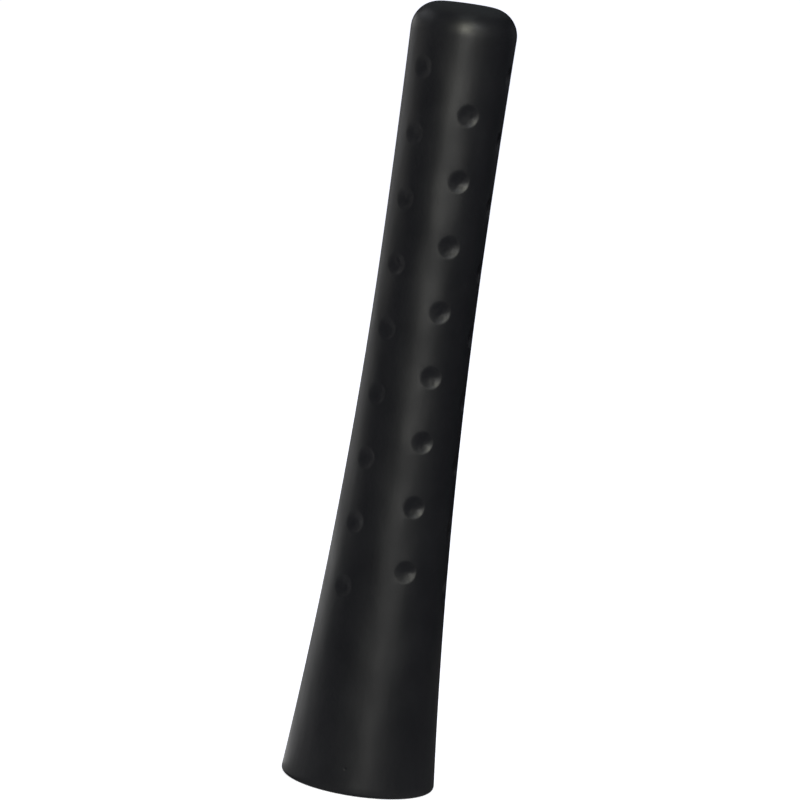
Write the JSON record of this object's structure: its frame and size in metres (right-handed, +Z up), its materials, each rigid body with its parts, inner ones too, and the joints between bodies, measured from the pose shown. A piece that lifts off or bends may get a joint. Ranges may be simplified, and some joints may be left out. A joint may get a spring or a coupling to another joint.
{
  "type": "car mast aerial",
  "caption": "Short screw-on car mast aerial: flared, dimpled black rubber jacket with a rounded top, moulded round a wound core and a tapped metal ferrule in its flat base.",
  "frame": {"origin": "Centre of the flat base, on the plane that the base stands on.", "axes": "+Z runs up the mast's own axis from the base to the rounded top. -Y is the side that the picture shows, with a short column of dimples a little to its right."},
  "size_m": [0.0198, 0.0198, 0.1],
  "materials": {
    "jacket_rubber": "satin black",
    "ferrule_brass": "turned",
    "core_glass_fibre": "matt",
    "coil_copper": "enamelled wire"
  },
  "bodies": {
    "root": {"mast_jacket": "jacket_rubber", "screw_ferrule": "ferrule_brass", "winding_core": "core_glass_fibre", "antenna_coil": "coil_copper"}
  },
  "joints": []
}
